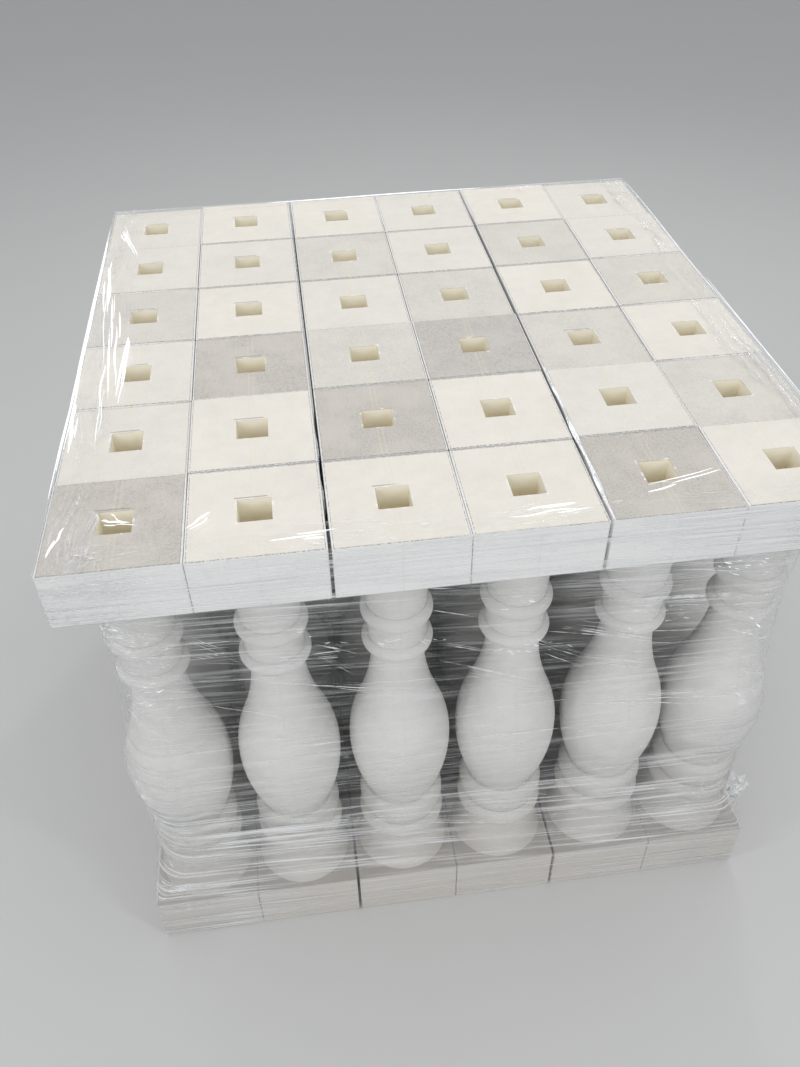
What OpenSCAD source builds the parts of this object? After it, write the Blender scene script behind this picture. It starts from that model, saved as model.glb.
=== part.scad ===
// Stretch-wrapped pack of cast balusters, standing upright on the floor in a square grid.
// X runs along the front, Y from front to back and Z up. The origin is on the floor, under the
// middle of the pack.

/* [Pack] */
// Balusters side by side along the front
columns = 6; // [2:1:7]
// Rows of balusters from front to back
rows = 6; // [2:1:7]
// Columns that stand close together as one bundle
bundle_columns = 2; // [1:1:7]
// Clearance between neighbouring blocks of one bundle
block_gap = 0.8; // [0.3:0.1:4]
// Clearance between the blocks of two bundles
bundle_gap = 4; // [0.3:0.1:20]
// Clearance between two rows
row_gap = 0.8; // [0.3:0.1:20]
// How much shorter than the tallest one a baluster may be
height_spread = 3; // [0:0.5:8]

/* [Blocks] */
// Height of the tallest baluster
height = 783; // [765:1:1000]
// Width of the base and cap blocks, along the front
block_w = 152; // [148:1:200]
// Depth of the base and cap blocks, from front to back
block_d = 155; // [148:1:200]
// Height of the base block
base_h = 91; // [40:1:105]
// Height of the cap block
cap_h = 76; // [40:1:92]
// Bevel along the edges of both blocks
arris = 1.2; // [0.5:0.1:6]
// Width of the square dowel socket in the cap
socket_w = 39; // [20:1:44]
// Depth of the dowel socket
socket_depth = 90; // [20:1:120]

/* [Shaft] */
// Radius of the foot where it meets the base block
foot_r = 70; // [66:0.5:73]
// Radius at the top of the foot
ankle_r = 55; // [53:0.5:62]
// Height of the hollow curve of the foot
foot_h = 68.5; // [40:0.5:75]
// Radius of the two lower rings at their fullest
low_ring_r = 63.5; // [62:0.5:70]
// How far the upper of the two lower rings is set back from the one below it
low_ring_setback = 2; // [0:0.1:4]
// Height of the first ring above the foot
low_ring_h = 34; // [25:0.5:40]
// Height of the second ring above the foot, which carries the belly
mid_ring_h = 51; // [40:0.5:60]
// Depth of the grooves above and below each lower ring
low_groove = 7.5; // [2:0.5:12]
// Radius where the belly rises out of the lower rings
waist_r = 50; // [46:0.5:56]
// Radius of the belly at its fullest
belly_r = 71; // [66:0.5:73]
// Height of the belly below its fullest point
belly_low_h = 108; // [80:1:118]
// Height from the fullest point of the belly to the neck
belly_high_h = 193; // [150:1:200]
// Share of that height that is still rounded outwards
belly_share = 0.4; // [0.3:0.01:0.7]
// Radius of the neck
neck_r = 34; // [31:0.5:37]
// Radius of the two neck rings at their fullest
neck_ring_r = 46; // [43:0.5:52]
// Height of the ring at the top of the neck
neck_ring_h = 20; // [14:0.5:26]
// Height of the drum between the two neck rings
drum_h = 31; // [20:0.5:40]
// Radius of the drum, and of the foot of the collar
drum_r = 38; // [36:0.5:40]
// How far the edges of the neck rings stand out of the drum
ring_ledge = 1.5; // [0.5:0.1:2.5]
// Height of the ring above the drum, which carries the collar
top_ring_h = 23; // [14:0.5:28]
// Radius of the collar where it meets the cap block
collar_r = 51; // [44:0.5:66]

/* [Film] */
// Thickness of the wound film
film_t = 1; // [0.5:0.1:3]
// Clearance between the film and what it is wound round
film_gap = 0.8; // [0.5:0.1:3]
// Height of the film's lower edge above the floor
film_lift = 3; // [0:0.5:40]
// How far below the caps the film has drawn in to the collars
film_tuck = 14; // [5:1:40]
// Clearance between the tops of the caps and the film folded over them
fold_gap = 0.3; // [0.1:0.1:2]
// How far the film is folded over the front row of caps
fold_front = 42; // [10:1:50]
// How far the film is folded over the back row of caps
fold_back = 24; // [10:1:50]
// How far the film is folded over the caps along the two other sides
fold_side = 46; // [10:1:50]
// Radius of the film round the corner of a block
film_corner_r = 3; // [1:0.5:10]

/* [Hidden] */
row_letters = "abcdefg";
function baluster_name(row, column) = str("baluster_", row_letters[row], column + 1);
SIDES = ["film_front", "film_right", "film_back", "film_left"];
stone_colour = [0.86, 0.84, 0.8];
film_colour = [0.9, 0.93, 0.95, 0.35];
round_fn = 96;
cut_past = 1;

// Where each stretch of the shaft starts, from the floor up
foot_z = base_h;
low_ring_z = foot_z + foot_h;
mid_ring_z = low_ring_z + low_ring_h;
waist_z = mid_ring_z + mid_ring_h;
belly_z = waist_z + belly_low_h;
neck_z = belly_z + belly_high_h;
drum_z = neck_z + neck_ring_h;
top_ring_z = drum_z + drum_h;
collar_z = top_ring_z + top_ring_h;
cap_z = height - cap_h;
mid_ring_r = low_ring_r - low_ring_setback;
ring_edge_r = drum_r + ring_ledge;

// The upper belly is two arcs of opposite curve. They share one tangent at swing_z, but for the
// little that the upper one is set in: it makes them cross there instead of only touching
swing_set_in = 0.02;
swing_lap = 4;
swing = 2 * atan((belly_r - neck_r) / belly_high_h);
swing_z = belly_z + belly_share * belly_high_h;
out_arc_r = (swing_z - belly_z) / sin(swing);
in_arc_r = (neck_z - swing_z) / sin(swing);

// Radius of an arc that moves sideways by 'rise' over the length 'run', from an upright tangent
function arc_r(run, rise) = (run * run + rise * rise) / (2 * rise);
low_arc_r = arc_r(belly_low_h, belly_r - waist_r);

// How far the arc of radius 'r' has come in at the distance 'd' from its fullest point
function fall(r, d) = r - sqrt(r * r - d * d);

// Place of a column or a row of balusters: blocks and gaps before it, measured from the pack's middle
pitch = block_w + block_gap;
row_pitch = block_d + row_gap;
function bundle_steps(column) = floor(column / bundle_columns);
function column_run(column) = column * pitch + bundle_steps(column) * (bundle_gap - block_gap);
half_x = (column_run(columns - 1) + block_w) / 2;
half_y = ((rows - 1) * row_pitch + block_d) / 2;
function column_x(column) = column_run(column) + block_w / 2 - half_x;
function row_y(row) = row * row_pitch + block_d / 2 - half_y;

// The castings aren't all of one height: this one is this much shorter than the tallest. The two
// sides of the pack mirror each other
height_steps = 4;
function columns_in(column) = min(column, columns - 1 - column);
function short_by(row, column) =
    height_spread * ((3 * row + 5 * columns_in(column)) % height_steps) / (height_steps - 1);

// Rectangle with its corners bevelled by the arris
module bevelled(w, h) {
    b = arris;
    polygon([
        [b, 0], [w - b, 0], [w, b], [w, h - b],
        [w - b, h], [b, h], [0, h - b], [0, b]
    ]);
}

// Block of the height h with a bevel along each of its edges
module block(h) {
    translate([-block_w / 2, -block_d / 2, 0])
        intersection() {
            linear_extrude(h) bevelled(block_w, block_d);
            translate([0, block_d, 0]) rotate([90, 0, 0]) linear_extrude(block_d) bevelled(block_w, h);
            rotate([90, 0, 90]) linear_extrude(block_w) bevelled(block_d, h);
        }
}

// Outline of a stretch that bulges from r_in to r_out and back
module bead(z, h, r_in, r_out) {
    r = arc_r(h / 2, r_out - r_in);
    centre_r = r_out - r;
    if (centre_r > 0) translate([0, z]) square([centre_r, h]);
    intersection() {
        translate([0, z]) square([r_out + cut_past, h]);
        translate([centre_r, z + h / 2]) circle(r, $fn = round_fn);
    }
}

// Outline of a stretch that is hollowed from r_out in to r_in, upright at the height z_in
module hollow(z, h, z_in, r_in, r_out) {
    r = arc_r(h, r_out - r_in);
    difference() {
        translate([0, z]) square([r_out + cut_past, h]);
        translate([r_in + r, z_in]) circle(r, $fn = round_fn * 2);
    }
}

// Outline of the belly: rounded out of the lower rings, full, and drawn in to the neck
module belly_outline() {
    intersection() {
        translate([0, waist_z]) square([belly_r + cut_past, belly_low_h]);
        translate([belly_r - low_arc_r, belly_z]) circle(low_arc_r, $fn = round_fn * 2);
    }
    intersection() {
        translate([0, belly_z]) square([belly_r + cut_past, swing_z - belly_z + swing_lap]);
        translate([belly_r - out_arc_r, belly_z]) circle(out_arc_r, $fn = round_fn * 4);
    }
    difference() {
        translate([0, swing_z]) square([belly_r, neck_z - swing_z]);
        translate([neck_r + in_arc_r - swing_set_in, neck_z]) circle(in_arc_r, $fn = round_fn * 2);
    }
}

module shaft() {
    rotate_extrude($fn = round_fn) {
        hollow(foot_z, foot_h, low_ring_z, ankle_r, foot_r);
        bead(low_ring_z, low_ring_h, low_ring_r - low_groove, low_ring_r);
        bead(mid_ring_z, mid_ring_h, mid_ring_r - low_groove, mid_ring_r);
        belly_outline();
        bead(neck_z, neck_ring_h, ring_edge_r, neck_ring_r);
        translate([0, drum_z]) square([drum_r, drum_h]);
        bead(top_ring_z, top_ring_h, ring_edge_r, neck_ring_r);
        hollow(collar_z, cap_z - collar_z, collar_z, drum_r, collar_r);
    }
}

module baluster(row, column) {
    color(stone_colour)
        translate([column_x(column), row_y(row), 0])
            difference() {
                union() {
                    block(base_h);
                    shaft();
                    translate([0, 0, cap_z]) block(cap_h - short_by(row, column));
                }
                translate([-socket_w / 2, -socket_w / 2, height - socket_depth])
                    cube([socket_w, socket_w, socket_depth + cut_past]);
            }
}

// The film is taut between the outer balusters and follows their outline. Each level is
// [height, reach along X, reach along Y, corner radius], with the reach measured from the
// outer axes. Round a shaft, all three are the radius of the shaft with its clearance.
function block_level(z) = [z, block_w / 2 + film_gap, block_d / 2 + film_gap, film_corner_r];
function shaft_level(z, r) = [z, r + film_gap, r + film_gap, r + film_gap];
function ring_levels(z, h, r) = [for (side = [-1, 1]) shaft_level(z + h / 2 + side * h / 6, r)];
levels = concat(
    [block_level(film_lift), block_level(base_h)],
    ring_levels(low_ring_z, low_ring_h, low_ring_r),
    ring_levels(mid_ring_z, mid_ring_h, mid_ring_r),
    [for (t = [0.3, 0.55, 0.8])
        let (z = waist_z + t * belly_low_h)
        shaft_level(z, belly_r - fall(low_arc_r, belly_z - z))],
    [for (t = [0 : 0.2 : 1])
        let (z = belly_z + t * (swing_z - belly_z))
        shaft_level(z, belly_r - fall(out_arc_r, z - belly_z))],
    ring_levels(neck_z, neck_ring_h, neck_ring_r),
    ring_levels(top_ring_z, top_ring_h, neck_ring_r),
    [shaft_level(cap_z - film_tuck, collar_r), block_level(cap_z)],
    [block_level(height + fold_gap + film_t)]
);

// Half of the corner turn at one end of a side. The side runs along +X and faces -Y: 'end' is -1
// for its left end and 1 for its right one, 'along' and 'out' are the reach in those two
// directions, and 'skin' is what the film's thickness adds
corner_steps = 4;
function half_turn(z, half_run, along, out, r, skin, end) =
    [for (i = [0 : corner_steps])
        let (a = 45 * (end < 0 ? 1 - i / corner_steps : i / corner_steps))
        [end * (half_run + along - r + (r + skin) * sin(a)), r - out - (r + skin) * cos(a), z]];
function strip(level, half_run, turned, skin) =
    let (along = level[turned ? 2 : 1], out = level[turned ? 1 : 2])
    [for (end = [-1, 1]) each half_turn(level[0], half_run, along, out, level[3], skin, end)];

// One side of the film: a skin between the inner and the outer strip of every level.
// half_run is half the distance between its two corner axes, and a turned side runs along Y
module film_side(half_run, turned) {
    across = 2 * (corner_steps + 1);
    up = len(levels);
    skin = across * up;
    points = concat(
        [for (level = levels) each strip(level, half_run, turned, 0)],
        [for (level = levels) each strip(level, half_run, turned, film_t)]
    );
    last_row = (up - 1) * across;
    faces = concat(
        [for (k = [0 : up - 2], i = [0 : across - 2])
            let (p = k * across + i) each [[p, p + 1, p + across + 1], [p, p + across + 1, p + across]]],
        [for (k = [0 : up - 2], i = [0 : across - 2])
            let (p = skin + k * across + i)
            each [[p, p + across + 1, p + 1], [p, p + across, p + across + 1]]],
        [for (i = [0 : across - 2]) each [[i, skin + i, skin + i + 1], [i, skin + i + 1, i + 1]]],
        [for (i = [0 : across - 2])
            let (p = last_row + i) each [[p, p + 1, skin + p + 1], [p, skin + p + 1, skin + p]]],
        [for (k = [0 : up - 2])
            let (p = k * across) each [[p, p + across, skin + p + across], [p, skin + p + across, skin + p]]],
        [for (k = [0 : up - 2])
            let (p = k * across + across - 1)
            each [[p, skin + p + across, p + across], [p, skin + p, skin + p + across]]]
    );
    color(film_colour) polyhedron(points, faces, convexity = 6);
}

axis_x = half_x - block_w / 2;
axis_y = half_y - block_d / 2;
module film_front() {
    translate([0, -axis_y, 0]) film_side(axis_x, false);
}

module film_right() {
    translate([axis_x, 0, 0]) rotate([0, 0, 90]) film_side(axis_y, true);
}

module film_back() {
    translate([0, axis_y, 0]) rotate([0, 0, 180]) film_side(axis_x, false);
}

module film_left() {
    translate([-axis_x, 0, 0]) rotate([0, 0, 270]) film_side(axis_y, true);
}

// The film's upper edge, folded over the outer caps and lying on them
module film_fold() {
    out_x = half_x + film_gap;
    out_y = half_y + film_gap;
    color(film_colour)
        translate([0, 0, height + fold_gap])
            linear_extrude(film_t)
                difference() {
                    translate([-out_x, -out_y]) square([2 * out_x, 2 * out_y]);
                    translate([fold_side - half_x, fold_front - half_y])
                        square([2 * (half_x - fold_side), 2 * half_y - fold_front - fold_back]);
                }
}

for (row = [0 : rows - 1], column = [0 : columns - 1])
    baluster(row, column);
film_front();
film_right();
film_back();
film_left();
film_fold();
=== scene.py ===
import math

import bpy
import numpy as np
from mathutils import Matrix, Vector


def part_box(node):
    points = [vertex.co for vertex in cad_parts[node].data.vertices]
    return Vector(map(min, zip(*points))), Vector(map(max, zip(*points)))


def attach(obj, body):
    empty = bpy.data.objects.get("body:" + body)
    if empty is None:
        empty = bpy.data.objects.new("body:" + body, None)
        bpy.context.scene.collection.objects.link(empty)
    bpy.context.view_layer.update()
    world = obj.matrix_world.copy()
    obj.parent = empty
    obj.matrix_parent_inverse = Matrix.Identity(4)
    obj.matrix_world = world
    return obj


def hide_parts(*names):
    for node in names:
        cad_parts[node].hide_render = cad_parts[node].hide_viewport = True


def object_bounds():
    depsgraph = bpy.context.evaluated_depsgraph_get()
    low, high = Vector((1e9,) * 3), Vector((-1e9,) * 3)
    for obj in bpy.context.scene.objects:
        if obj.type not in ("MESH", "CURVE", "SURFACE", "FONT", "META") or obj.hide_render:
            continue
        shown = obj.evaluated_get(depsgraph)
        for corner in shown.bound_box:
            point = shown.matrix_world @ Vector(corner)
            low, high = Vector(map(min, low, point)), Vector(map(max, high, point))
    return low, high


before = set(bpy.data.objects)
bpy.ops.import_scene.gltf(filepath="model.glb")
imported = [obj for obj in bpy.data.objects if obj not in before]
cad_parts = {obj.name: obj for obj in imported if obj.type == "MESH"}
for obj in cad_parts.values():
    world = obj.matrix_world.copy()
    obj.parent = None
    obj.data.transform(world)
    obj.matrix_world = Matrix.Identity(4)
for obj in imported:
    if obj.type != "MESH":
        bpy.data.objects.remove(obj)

cadLow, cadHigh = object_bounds()
waveStart = (0, 6)  # radians, the range from which a wave gets its start

# Metres throughout. X runs along the front, Y from front to back, Z up, the floor is at Z = 0.

casting = {
    "rows": "abcdef",
    "columns": range(1, 7),
    "tallest": 0.783,
    "blockWidth": 0.152,
    "blockDepth": 0.155,
    "baseHeight": 0.091,
    "capHeight": 0.076,
    "socket": 0.039,
    "rim": 0.002,  # the pale skin round the cut face
    "shadeFrom": 0.085,  # the stone darkens from this far inside the pack
    "shadeFull": 0.17,
}

stoneColours = {
    "skinLow": (0.7, 0.695, 0.675),
    "skinHigh": (0.765, 0.76, 0.74),
    "capSkin": (0.9, 0.9, 0.895),
    # painted shadows and painted highlights of the film's wrinkles; the pale one is also the colour of the
    # scratches on the sawn tops
    "wrinkleShadow": (0.66, 0.67, 0.69),
    "wrinkleSheenAndScratch": (0.94, 0.945, 0.945),
    # dust, and low on the castings a painted reflection of the floor
    "dustAndFloorReflection": (0.6, 0.565, 0.51),
    # dust and painted shade on the tops of the bases
    "ledgeDustAndShade": (0.42, 0.395, 0.36),
    "deepShade": (0.2, 0.195, 0.185),
    "rim": (0.87, 0.86, 0.84),
    # the dark dotted line round the cut face, and the painted shadow behind the socket
    "darkLineAndShadow": (0.3, 0.28, 0.26),
    "chip": (0.93, 0.925, 0.91),
    "seam": (0.8, 0.7, 0.5),
    "socketHigh": (0.96, 0.92, 0.8),
    "socketLow": (0.92, 0.79, 0.5),
}

sawnTops = {  # colour of the sawn top, how speckled it is, and the castings that have it
    "sawnGrey": ((0.575, 0.54, 0.49), 0.6, ["a1", "a5", "b3", "c2"]),
    "sawnDark": ((0.56, 0.53, 0.49), 0.55, ["c4"]),
    "sawnPale": ((0.69, 0.66, 0.6), 0.35, ["b6", "c3", "c5", "d1", "d4", "d6", "e3", "e5"]),
    "sawnWhite": (
        (0.77, 0.735, 0.67), 0.15, ["b1", "b5", "c1", "d3", "e1", "e2", "e4", "e6", "f1", "f4", "f6"],
    ),
    "sawnCream": ((0.8, 0.76, 0.685), 0.08, []),  # all the others
}


def setSocket(tree, socket, value):
    if isinstance(value, bpy.types.NodeSocket):
        tree.links.new(value, socket)
    elif isinstance(value, (int, float)):
        socket.default_value = value
    else:
        value = tuple(value)
        size = len(socket.default_value)
        socket.default_value = value + (1.0,) * (size - len(value))


def addMath(tree, operation, first, second=None):
    node = tree.nodes.new("ShaderNodeMath")
    node.operation = operation
    setSocket(tree, node.inputs[0], first)
    if second is not None:
        setSocket(tree, node.inputs[1], second)
    return node.outputs[0]


def addProduct(tree, *values):
    total = values[0]
    for value in values[1:]:
        total = addMath(tree, "MULTIPLY", total, value)
    return total


def addSum(tree, *values):
    total = values[0]
    for value in values[1:]:
        total = addMath(tree, "ADD", total, value)
    return total


def addVector(tree, operation, first, second=None):
    node = tree.nodes.new("ShaderNodeVectorMath")
    node.operation = operation
    setSocket(tree, node.inputs[0], first)
    if second is not None:
        setSocket(tree, node.inputs[1], second)
    return node.outputs["Vector"]


def addRange(tree, value, low, high, outLow=0.0, outHigh=1.0, kind="SMOOTHSTEP"):
    node = tree.nodes.new("ShaderNodeMapRange")
    node.interpolation_type = kind
    labels = ("Value", "From Min", "From Max", "To Min", "To Max")
    for label, given in zip(labels, (value, low, high, outLow, outHigh)):
        setSocket(tree, node.inputs[label], given)
    return node.outputs["Result"]


def addFade(tree, value, near, far, most=1.0):
    # full where the value is small, and gone where it is large
    return addRange(tree, value, near, far, most, 0.0)


def addNoise(tree, vector, scale=1.0, detail=2.0, roughness=0.5, distortion=0.0):
    node = tree.nodes.new("ShaderNodeTexNoise")
    labels = ("Vector", "Scale", "Detail", "Roughness", "Distortion")
    for label, given in zip(labels, (vector, scale, detail, roughness, distortion)):
        setSocket(tree, node.inputs[label], given)
    return node.outputs["Fac"]


def addPatches(tree, place, noise, shown):
    return addRange(tree, addNoise(tree, place, *noise), *shown)


def addLongNoise(tree, place, stretch, detail=2.0, roughness=0.6, distortion=0.0):
    return addNoise(tree, addVector(tree, "MULTIPLY", place, stretch), 1.0, detail, roughness, distortion)


def addMix(tree, factor, first, second):
    node = tree.nodes.new("ShaderNodeMix")
    node.data_type = "RGBA"
    setSocket(tree, node.inputs[0], factor)
    setSocket(tree, node.inputs[6], first)  # 6 and 7 are its two colours, and 2 is the mixed one
    setSocket(tree, node.inputs[7], second)
    return node.outputs[2]


def addLayers(tree, colour, *layers):
    # each layer is a mask and the colour that it brings
    for mask, above in layers:
        colour = addMix(tree, mask, colour, above)
    return colour


def tinted(colour, share):
    return [min(1.0, c * share) for c in colour]


def addCurve(tree, value, stops):
    # a smooth curve through (place, level) pairs
    low, high = stops[0][0], stops[-1][0]
    node = tree.nodes.new("ShaderNodeValToRGB")
    ramp = node.color_ramp
    ramp.interpolation = "EASE"
    while len(ramp.elements) < len(stops):
        ramp.elements.new(0.5)
    for element, (place, level) in zip(ramp.elements, stops):
        element.position = (place - low) / (high - low)
        element.color = (level, level, level, 1)
    setSocket(tree, node.inputs[0], addRange(tree, value, low, high, kind="LINEAR"))
    return node.outputs["Color"]


def splitVector(tree, vector):
    node = tree.nodes.new("ShaderNodeSeparateXYZ")
    setSocket(tree, node.inputs[0], vector)
    return node.outputs


def joinVector(tree, x, y, z):
    node = tree.nodes.new("ShaderNodeCombineXYZ")
    for socket, value in zip(node.inputs, (x, y, z)):
        setSocket(tree, socket, value)
    return node.outputs[0]


def distance(tree, value, target):
    return addMath(tree, "ABSOLUTE", addMath(tree, "SUBTRACT", value, target))


def addLine(tree, value, target, near, far, most=1.0):
    # full where the value is close to the target
    return addFade(tree, distance(tree, value, target), near, far, most)


def startGroup(name, *labels):
    # a node group with these vectors as its inputs
    tree = bpy.data.node_groups.new(name, "ShaderNodeTree")
    for label in labels:
        tree.interface.new_socket(label, in_out="INPUT", socket_type="NodeSocketVector")
    given = tree.nodes.new("NodeGroupInput").outputs
    return (tree, *(given[label] for label in labels))


def finishGroup(tree, **values):
    for label in values:
        tree.interface.new_socket(label, in_out="OUTPUT", socket_type="NodeSocketFloat")
    out = tree.nodes.new("NodeGroupOutput").inputs
    for label, value in values.items():
        setSocket(tree, out[label], value)
    return tree


def useGroup(tree, group, **values):
    node = tree.nodes.new("ShaderNodeGroup")
    node.node_tree = group
    for label, value in values.items():
        setSocket(tree, node.inputs[label], value)
    return node.outputs


def newMaterial(name):
    material = bpy.data.materials.new(name)
    material.use_nodes = True
    tree = material.node_tree
    place = tree.nodes.new("ShaderNodeTexCoord").outputs
    return material, tree, tree.nodes["Principled BSDF"], place


def addBump(tree, height, strength, reach):
    node = tree.nodes.new("ShaderNodeBump")
    setSocket(tree, node.inputs["Height"], height)
    node.inputs["Strength"].default_value = strength
    node.inputs["Distance"].default_value = reach
    return node.outputs[0]


castGrain = {  # scale, detail and roughness of each noise, where the holes show, and the relief
    "cloud": (9.0, 3.0, 0.55),
    "patch": (45.0, 3.0, 0.6),
    "sand": (700.0, 2.0, 0.6),
    "holes": ((260.0, 1.0), (0.69, 0.76)),
    "sandTone": 0.35,
    "sandHeight": 0.35,
    "holeDepth": 0.6,
    "patchHeight": 0.5,
}


def makeCastGrain():
    # clouds, sand and pin holes of a cast surface
    tree, place = startGroup("castGrain", "Place")
    cloud, patch, sand = (addNoise(tree, place, *castGrain[kind]) for kind in ("cloud", "patch", "sand"))
    pits = addPatches(tree, place, *castGrain["holes"])
    sandTone = addProduct(tree, addMath(tree, "SUBTRACT", sand, 0.5), castGrain["sandTone"])
    tone = addSum(tree, addProduct(tree, cloud, 0.5), addProduct(tree, patch, 0.5), sandTone)
    holes = addProduct(tree, pits, castGrain["holeDepth"])
    height = addMath(tree, "SUBTRACT", addProduct(tree, sand, castGrain["sandHeight"]), holes)
    height = addSum(tree, height, addProduct(tree, patch, castGrain["patchHeight"]))
    return finishGroup(tree, Tone=tone, Pits=pits, Height=height)


wrinkleLightMarks = {  # stretch, detail, roughness and distortion of the lines, and where they show
    "white": ((3.2, 3.2, 330.0), 3.0, 0.7),
    "grey": ((2.2, 2.2, 170.0), 3.0, 0.65, 0.3),
    "from": (0.52, 0.7),
}


def makeBrushMarks():
    # painted highlights (white) and painted shadows (grey) of the wound film's fine level wrinkles, on the
    # faces of the blocks where the film is pressed on them
    tree, place = startGroup("wrinkleLightMarks", "Place")
    white, grey = (addLongNoise(tree, place, *wrinkleLightMarks[kind]) for kind in ("white", "grey"))
    shown = wrinkleLightMarks["from"]
    return finishGroup(tree, White=addRange(tree, white, *shown), Grey=addRange(tree, grey, *shown))


sawnFace = {  # a fade is where a mark starts to fade and where it ends, a patch its noise and where it shows
    "wanderNoise": (260.0, 3.0, 0.7),
    "wander": 0.0022,
    "topFade": (0.0005, 0.0011),
    "rimFull": 0.75,  # share of the rim's width that has its full colour
    "dotPatch": ((700.0, 1.0), (0.42, 0.54)),
    "innerFade": (0.0003, 0.0011),
    "frontFade": (0.001, 0.0021),
    "middleSeams": (0.003, 0.0004, 0.0016),  # how far they are from the middle, and their fade
    "leftSeams": -0.037,
    "leftSeam": (0.0022, 0.0003, 0.0011),
    "leftPatch": ((1.9, 0.0), (0.5, 0.56, 0.0, 0.8)),
    "scratches": (1500.0, 40.0, 10.0),
    "mouthFade": (0.0002, 0.0006),
    "mouthFrom": (0.0004, 0.001),  # how far down the wall of the socket starts
    "ochreDepth": 0.07,
    "ochreWander": 9.0,
    "chipFade": (0.001, 0.003),
    "chipWander": 2.5,
    "chipPatch": ((90.0, 2.0), (0.56, 0.66, 0.0, 0.8)),
    "shadowLineLength": (-0.004, 0.018, 0.0192),
    "shadowLineBehind": 0.0032,  # the socket
    "shadowLineFade": (0.0005, 0.0013),
    "shadowLinePatch": ((2.3, 0.0), (0.5, 0.54)),
}


def makeSawnTop():
    # the cut face on top, its pale rim, the saw's marks and the mouth of the socket
    tree, local, place = startGroup("sawnTop", "Local", "Place")
    halfWidth, halfDepth = casting["blockWidth"] / 2, casting["blockDepth"] / 2
    face, halfSocket, rim = sawnFace, casting["socket"] / 2, casting["rim"]
    x, y, z = splitVector(tree, local)
    wander = addMath(tree, "SUBTRACT", addNoise(tree, place, *face["wanderNoise"]), 0.5)
    wander = addProduct(tree, wander, face["wander"])
    across, along = addMath(tree, "ABSOLUTE", x), addMath(tree, "ABSOLUTE", y)
    down = addMath(tree, "SUBTRACT", casting["tallest"], z)
    top = addFade(tree, down, *face["topFade"])
    # the rim runs along both sides and the back, and the front has only the dotted line
    fromSide, fromBack = addMath(tree, "SUBTRACT", halfWidth, across), addMath(tree, "SUBTRACT", halfDepth, y)
    edge = addSum(tree, addMath(tree, "MINIMUM", fromSide, fromBack), wander)
    inner = addLine(tree, edge, rim, *face["innerFade"])
    front = addFade(tree, addSum(tree, y, halfDepth, wander), *face["frontFade"])
    dots = addPatches(tree, place, *face["dotPatch"])
    # two faint seams near the middle, and on some castings two more to the left
    middle = addLine(tree, across, *face["middleSeams"])
    left = addLine(tree, distance(tree, x, face["leftSeams"]), *face["leftSeam"])
    left = addProduct(tree, left, addPatches(tree, place, *face["leftPatch"]))
    reach = addMath(tree, "MAXIMUM", across, along)
    inside = addFade(tree, reach, *(halfSocket + step for step in face["mouthFade"]))
    depth = addSum(tree, down, addProduct(tree, wander, face["ochreWander"]))
    ring = addSum(tree, reach, addProduct(tree, wander, face["chipWander"]))
    ring = addFade(tree, ring, *(halfSocket + step for step in face["chipFade"]))
    # on some castings a dark line runs just behind the socket: a painted shadow along its back edge
    shadowLineLength = addLine(tree, x, *face["shadowLineLength"])
    shadowLineWidth = addLine(tree, y, halfSocket + face["shadowLineBehind"], *face["shadowLineFade"])
    return finishGroup(
        tree,
        Top=top,
        Rim=addFade(tree, edge, rim * face["rimFull"], rim),
        Line=addProduct(tree, addMath(tree, "MAXIMUM", inner, front), dots),
        Band=addMath(tree, "MAXIMUM", middle, left),
        Scratch=addLongNoise(tree, place, face["scratches"]),
        Socket=addProduct(tree, inside, addRange(tree, down, *face["mouthFrom"])),
        Depth=addRange(tree, depth, 0.0, face["ochreDepth"], kind="LINEAR"),
        Chips=addProduct(tree, ring, addPatches(tree, place, *face["chipPatch"]), top),
        Slit=addProduct(tree, shadowLineLength, shadowLineWidth, addPatches(tree, place, *face["shadowLinePatch"]), top),
    )


stoneLook = {  # a bare number is how strong a layer is, a patch is its noise and where it shows
    "tone": (0.3, 0.7),
    "blockEdge": 0.001,  # height over which the look of a block begins
    "baseShare": 0.7,
    "capSkin": 0.85,
    "dustAndFloorReflection": (0.05, 0.3, 0.85, 0.0),  # the heights between which it fades, and its share at both
    "wrinkleShadow": 0.55,
    "wrinkleSheenAndScratch": 0.75,
    "pits": 0.35,
    "mouldSeam": (0.0004, 0.0012, 0.2),
    "ledge": (0.0004, 0.0012, 0.85),
    "shade": 0.9,
    "shadeOnCaps": 0.45,
    "sawnTones": (0.94, 1.05),
    "specks": [((330.0, 4.0, 0.8), (0.46, 0.62), 0.66), ((14.0, 3.0, 0.6), (0.42, 0.62), 1.09)],  # and tint
    "scratches": (0.35, 0.7, 0.0, 0.07),
    "seams": 0.25,
    # strength of the painted shadow behind the socket
    "backEdgeShadow": 0.75,
    "blotchPatch": ((130.0, 2.0, 0.6), (0.4, 0.62, 0.0, 0.6)),
    "roughness": (0.78, 0.9),
    "specular": 0.3,
    "bump": (0.35, 0.0006),
}


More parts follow.
